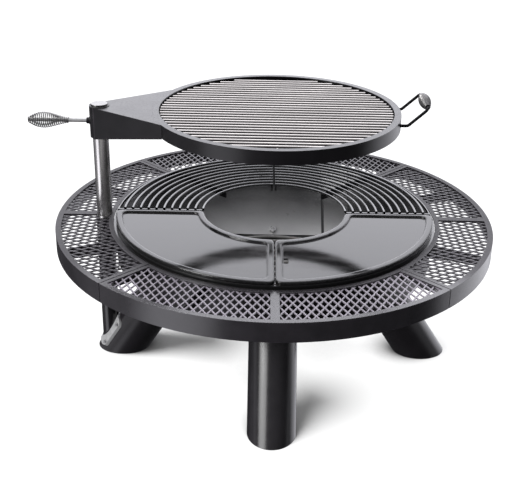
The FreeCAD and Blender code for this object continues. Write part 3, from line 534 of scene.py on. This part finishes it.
# %% Dress the frame
for row in frame["record"]["subparts"]:
    for slot in nodes[row["node"]].material_slots:
        slot.material = finishes[row["material_slot"]]
closer_match = {"post_cap": cap_steel, "clamp_rod": finishes["saddle_steel"]}
# Mesh panels away from the front take the darker coat: painted shade.
for name in nodes:
    if name.startswith("mesh_") and "front" not in name:
        closer_match[name] = mesh_coat_painted_shade
for name, material in closer_match.items():
    nodes[name].material_slots[0].material = material

# %% [markdown]
# ## Weld beads
# The arm is welded to its hub and to the grill ring, and so are the clamp's boss, the lifting handle
# and the post's socket. A bead laid by hand is a row of overlapping scales. A plain tube along the
# joint would look like a bent wire, so this tube swells once for every scale. Its line is worked out
# from the boxes of the pieces that it joins, so it lies on them.


# %% A bead along a line
SCALE_STEP = 0.0026
RINGS_IN_SCALE = 6
BEAD_SIDES = 10
LENGTH_STEPS = 60
LEAST_SCALES = 4
SCALE_SWELL = 0.2


def bead_rings(at, closed):
    """Points along the line, a few to every scale."""
    rough = [at(step / LENGTH_STEPS) for step in range(LENGTH_STEPS + 1)]
    length = sum((b - a).length for a, b in zip(rough, rough[1:]))
    count = RINGS_IN_SCALE * max(LEAST_SCALES, round(length / SCALE_STEP))
    return [at(step / count) for step in range(count if closed else count + 1)]


def weld_bead(name, at, thick, body, slot, closed=False):
    """A closed skin round the line that at(share) gives for shares from 0 to 1."""
    line = bead_rings(at, closed)
    skin = bmesh.new()
    rings = []
    side = None
    for index, point in enumerate(line):
        before = line[index - 1] if closed or index else point
        after = line[(index + 1) % len(line)] if closed or index + 1 < len(line) else point
        ahead = (after - before).normalized()
        side = ahead.orthogonal() if side is None else side - ahead * side.dot(ahead)
        side.normalize()
        up = ahead.cross(side)
        swell = abs(math.sin(math.pi * index / RINGS_IN_SCALE))
        radius = thick * (1 - SCALE_SWELL + SCALE_SWELL * swell)
        ring = []
        for step in range(BEAD_SIDES):
            angle = 2 * math.pi * step / BEAD_SIDES
            outward = side * math.cos(angle) + up * math.sin(angle)
            ring.append(skin.verts.new(point + outward * radius))
        rings.append(ring)
    for first, second in zip(rings, rings[1:] + rings[:1] if closed else rings[1:]):
        for step in range(BEAD_SIDES):
            near = step - 1
            skin.faces.new((first[near], first[step], second[step], second[near]))
    if not closed:
        skin.faces.new(rings[0])
        skin.faces.new(reversed(rings[-1]))
    bmesh.ops.recalc_face_normals(skin, faces=skin.faces)
    for face in skin.faces:
        face.smooth = True
    shape = bpy.data.meshes.new(name)
    skin.to_mesh(shape)
    skin.free()
    shape.materials.append(finishes[slot])
    piece = bpy.data.objects.new(name, shape)
    bpy.context.scene.collection.objects.link(piece)
    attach(piece, body)
    return piece


print("a scale of weld is", SCALE_STEP, "m long")

# %% [markdown]
# Each bead follows the line where two pieces meet. On the hub and the grill ring that is a circle or
# an upright corner on a round wall. At the socket's foot it is where an upright tube meets a saddle
# that leans with the leg, so the leg's tilt comes in.

# %% Where the beads lie
BEAD = 0.002
HANDLE_BEAD = 0.0015
ARM_SPREAD = math.radians(28.0)
LEG_TILT = math.radians(32.871)
BOWL_CENTRE_Z = 0.671712
SADDLE_OUTER = 0.0695
ring_low, ring_high = [Vector(corner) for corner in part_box("grill_ring")]
hub_low, hub_high = [Vector(corner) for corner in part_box("arm_hub")]
boss_low, boss_high = [Vector(corner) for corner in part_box("clamp_boss")]
handle_low, handle_high = [Vector(corner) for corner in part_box("lift_handle")]
socket_low, socket_high = [Vector(corner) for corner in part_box("post_socket")]
grill_radius = (ring_high.x - ring_low.x) / 2
hub_radius = (hub_high.x - hub_low.x) / 2
post_x = (hub_high.x + hub_low.x) / 2
boss_radius = (boss_high.y - boss_low.y) / 2
boss_z = (boss_high.z + boss_low.z) / 2
socket_radius = (socket_high.y - socket_low.y) / 2


def arm_corner(side):
    """The upright corner between the arm's side and the grill ring."""
    x = -grill_radius * math.cos(ARM_SPREAD)
    y = side * grill_radius * math.sin(ARM_SPREAD)
    return lambda share: Vector((x, y, ring_low.z + BEAD + share * (ring_high.z - ring_low.z - 2 * BEAD)))


def boss_root(share):
    turn = 2 * math.pi * share
    y = boss_radius * math.cos(turn)
    return Vector((post_x - math.sqrt(hub_radius ** 2 - y * y), y, boss_z + boss_radius * math.sin(turn)))


def handle_root(side):
    """Round a rod of the lifting handle, where it leaves the grill ring."""
    middle_z = (ring_low.z + ring_high.z) / 2
    rod = middle_z - handle_low.z
    middle_y = side * (handle_high.y - rod)

    def at(share):
        turn = 2 * math.pi * share
        y = middle_y + rod * math.cos(turn)
        return Vector((math.sqrt(grill_radius ** 2 - y * y), y, middle_z + rod * math.sin(turn)))

    return at


def socket_root(share):
    """Round the foot of the post's socket, on the saddle's curve."""
    turn = 2 * math.pi * share
    x = post_x + socket_radius * math.cos(turn)
    y = socket_radius * math.sin(turn)
    out = math.sqrt(SADDLE_OUTER ** 2 - y * y)
    return Vector((x, y, BOWL_CENTRE_Z + (out + x * math.cos(LEG_TILT)) / math.sin(LEG_TILT)))


beads = [weld_bead("boss_weld", boss_root, BEAD, "arm", "arm_paint", True)]
beads.append(weld_bead("socket_weld", socket_root, BEAD, "base", "leg_paint", True))
for side, word in ((-1, "front"), (1, "back")):
    beads.append(weld_bead("arm_weld_" + word, arm_corner(side), BEAD, "arm", "arm_paint"))
    root = handle_root(side)
    beads.append(weld_bead("handle_weld_" + word, root, HANDLE_BEAD, "arm", "handle_paint", True))
print("weld beads:", len(beads))

# %% [markdown]
# ## Floor
# The barbecue stands on a plain white floor. White paper in a studio is brightly lit, yet it must not
# grey the black coats, so it is kept out of their reflections. The paper glows a little by itself.
# Close to the legs both its glow and its colour fade: an Ambient Occlusion node measures how open the
# floor is to the room, and that makes a soft contact shade.

# %% Floor
FLOOR_HALF = 150.0
PAPER_GLOW = 0.15
SHADE_REACH = 0.23
SHADE_SAMPLES = 16
SHADED_BELOW = 0.2
OPEN_ABOVE = 0.8
mesh = bpy.data.meshes.new("floor")
corners = [(x * FLOOR_HALF, y * FLOOR_HALF, 0.0) for x, y in ((-1, -1), (1, -1), (1, 1), (-1, 1))]
mesh.from_pydata(corners, [], [(0, 1, 2, 3)])
floor = bpy.data.objects.new("floor", mesh)
bpy.context.scene.collection.objects.link(floor)
paper_look = {"Roughness": 0.8, "Specular IOR Level": 0.0, "Emission Strength": PAPER_GLOW}
paper = Finish("studio_floor", paper_look)
openness = paper.node("ShaderNodeAmbientOcclusion", {"samples": SHADE_SAMPLES}, {"Distance": SHADE_REACH}, 1)
lit = paper.between(openness, SHADED_BELOW, OPEN_ABOVE)
paper.wear({
    "Base Color": paper.mixed(lit, tone(0.02), tone(0.21)),
    "Emission Color": paper.mixed(lit, tone(0.15), tone(1.0)),
})
mesh.materials.append(paper.material)
floor.visible_glossy = False
floor.visible_diffuse = False
floor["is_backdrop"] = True
print("floor", 2 * FLOOR_HALF, "m wide")

# %% [markdown]
# ## Soft boxes
# Black coats show hardly anything but what they mirror, so the room is mostly dark, with a few large
# soft boxes. The one behind and above is mirrored by the level faces. Those below the horizon are
# mirrored by upright faces, because the camera looks down. They are painted on the world as round
# patches with soft edges, which needs no lamp in the picture.

# %% Light from all round
scene = bpy.context.scene
scene.view_settings.view_transform = "Standard"
world = bpy.data.worlds.new("studio")
world.use_nodes = True
scene.world = world
sky = Sheet(world.node_tree)
sky_way = sky.node("ShaderNodeTexCoord", {}, {}, 0)


def soft_box(middle, inner, outer, power):
    """A round patch of light about a direction. It is full within inner degrees and gone by outer degrees."""
    sockets = {0: sky_way, 1: Vector(middle).normalized()}
    near = sky.node("ShaderNodeVectorMath", {"operation": "DOT_PRODUCT"}, sockets, 1)
    return sky.between(near, math.cos(math.radians(outer)), math.cos(math.radians(inner))) * power


ROOM_LIGHT = 0.05
HORIZON_LIGHT = 0.5
sky_height = sky.axis(sky_way, 2)
horizon = sky.between(sky_height, -0.1, 0.0) - sky.between(sky_height, 0.05, 0.15)
glow = ROOM_LIGHT + horizon * HORIZON_LIGHT
BEHIND_ABOVE = (0.0, 0.83, 0.55)
OVERHEAD = (0.0, 0.0, 1.0)
FRONT_LEFT_LOW = (-0.68, -0.57, -0.45)
LEFT_LOW = (-0.9, -0.1, -0.4)
RIGHT_BACK_LOW = (0.75, 0.55, -0.25)
ROOM_TINT = (1.0, 1.0, 1.065, 1.0)
glow = glow + soft_box(BEHIND_ABOVE, inner=18, outer=50, power=2.7)
glow = glow + soft_box(OVERHEAD, inner=20, outer=80, power=0.5)
glow = glow + soft_box(FRONT_LEFT_LOW, inner=8, outer=24, power=1.7)
glow = glow + soft_box(LEFT_LOW, inner=10, outer=40, power=0.2)
glow = glow + soft_box(RIGHT_BACK_LOW, inner=12, outer=40, power=1.5)
background = world.node_tree.nodes["Background"]
background.inputs["Color"].default_value = ROOM_TINT
sky.feed(background.inputs["Strength"], glow)
print("nodes in the sky:", len(world.node_tree.nodes))

# %% [markdown]
# ## Suns
# A photographer lights one thing at a time with flags and snoots. Light linking does the same: each
# sun has a list of the pieces that it lights, and may have a list of those that shade them. The key
# sun leaves out the quarter grates, whose glassy rods would glitter. One sun is for the legs, one
# draws the legs' shadows on the floor, and one brightens the post. The grill grate is kept out of
# mirror reflections, so that the griddle plates show the sky inside the grill ring.


# %% Suns
def sun(name, comes_from, power, spread):
    """A lamp far away. Its spread is the angle in degrees that it fills in the sky."""
    lamp = bpy.data.lights.new(name, "SUN")
    lamp.energy = power
    lamp.angle = math.radians(spread)
    piece = bpy.data.objects.new(name, lamp)
    piece.matrix_world = Vector(comes_from).to_track_quat("Z", "Y").to_matrix().to_4x4()
    scene.collection.objects.link(piece)
    return piece


def only(name, pieces):
    """A collection of some pieces, for a lamp that is to know no others."""
    group = bpy.data.collections.new(name)
    for piece in pieces:
        group.objects.link(piece)
    return group


parts = [piece for name, piece in nodes.items() if not name.startswith("quarter_grate")] + beads
legs = [piece for name, piece in nodes.items() if name.startswith("leg_")]
arm_pieces = [nodes["arm_hub"], nodes["arm_shell"]]
key_sun = sun("key_sun", comes_from=(-0.75, -0.45, 0.65), power=2.4, spread=26.0)
key_sun.light_linking.receiver_collection = only("lit_parts", parts)
leg_sun = sun("leg_sun", comes_from=(-0.69, -0.53, 0.49), power=2.2, spread=40.0)
leg_sun.light_linking.receiver_collection = only("lit_legs", legs)
leg_sun.light_linking.blocker_collection = only("leg_shades", legs)
floor_sun = sun("floor_sun", comes_from=(-0.6, -0.12, 1.0), power=16.0, spread=40.0)
floor_sun.light_linking.receiver_collection = only("lit_floor", [floor])
floor_sun.light_linking.blocker_collection = only("floor_shades", legs)
post_sun = sun("post_sun", comes_from=(0.45, -0.8, -0.4), power=0.4, spread=80.0)
post_sun.light_linking.receiver_collection = only("lit_post", [nodes["post"]])
post_sun.light_linking.blocker_collection = only("post_shades", arm_pieces)
nodes["grill_grate"].visible_glossy = False

# %% [markdown]
# ## Camera
# The camera was fitted to the photograph's table ring. It is given by its focal length in pixels, its
# place in metres, and three angles in radians. Its three directions are worked out from the angles
# and set as the columns of its matrix, which is exact and needs no aiming by eye.

# %% Camera
PHOTO_WIDTH = 526
FOCAL_PIXELS = 995.0
SENSOR_WIDTH = 36.0
CAMERA_PLACE = Vector((-0.035, -2.547, 1.5353))
CAMERA_YAW = 0.0022
CAMERA_PITCH = 0.4453
CAMERA_ROLL = -0.0189

ahead = Vector((
    math.sin(CAMERA_YAW) * math.cos(CAMERA_PITCH),
    math.cos(CAMERA_YAW) * math.cos(CAMERA_PITCH),
    -math.sin(CAMERA_PITCH),
))
level_right = Vector((math.cos(CAMERA_YAW), -math.sin(CAMERA_YAW), 0.0))
level_down = ahead.cross(level_right)
right = level_right * math.cos(CAMERA_ROLL) + level_down * math.sin(CAMERA_ROLL)
down = level_down * math.cos(CAMERA_ROLL) - level_right * math.sin(CAMERA_ROLL)
lens = bpy.data.cameras.new("camera")
lens.sensor_fit = "HORIZONTAL"
lens.sensor_width = SENSOR_WIDTH
lens.lens = FOCAL_PIXELS * SENSOR_WIDTH / PHOTO_WIDTH
camera = bpy.data.objects.new("camera", lens)
turn = Matrix((right, -down, -ahead)).transposed().to_4x4()
camera.matrix_world = Matrix.Translation(CAMERA_PLACE) @ turn
scene.collection.objects.link(camera)
scene.camera = camera
print("lens", round(lens.lens, 2), "mm")

# %% Print the boxes
boxes = {"cad": cad_box, "visual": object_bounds()}
for name, box in boxes.items():
    print(name, [[round(value, 4) for value in corner] for corner in box])
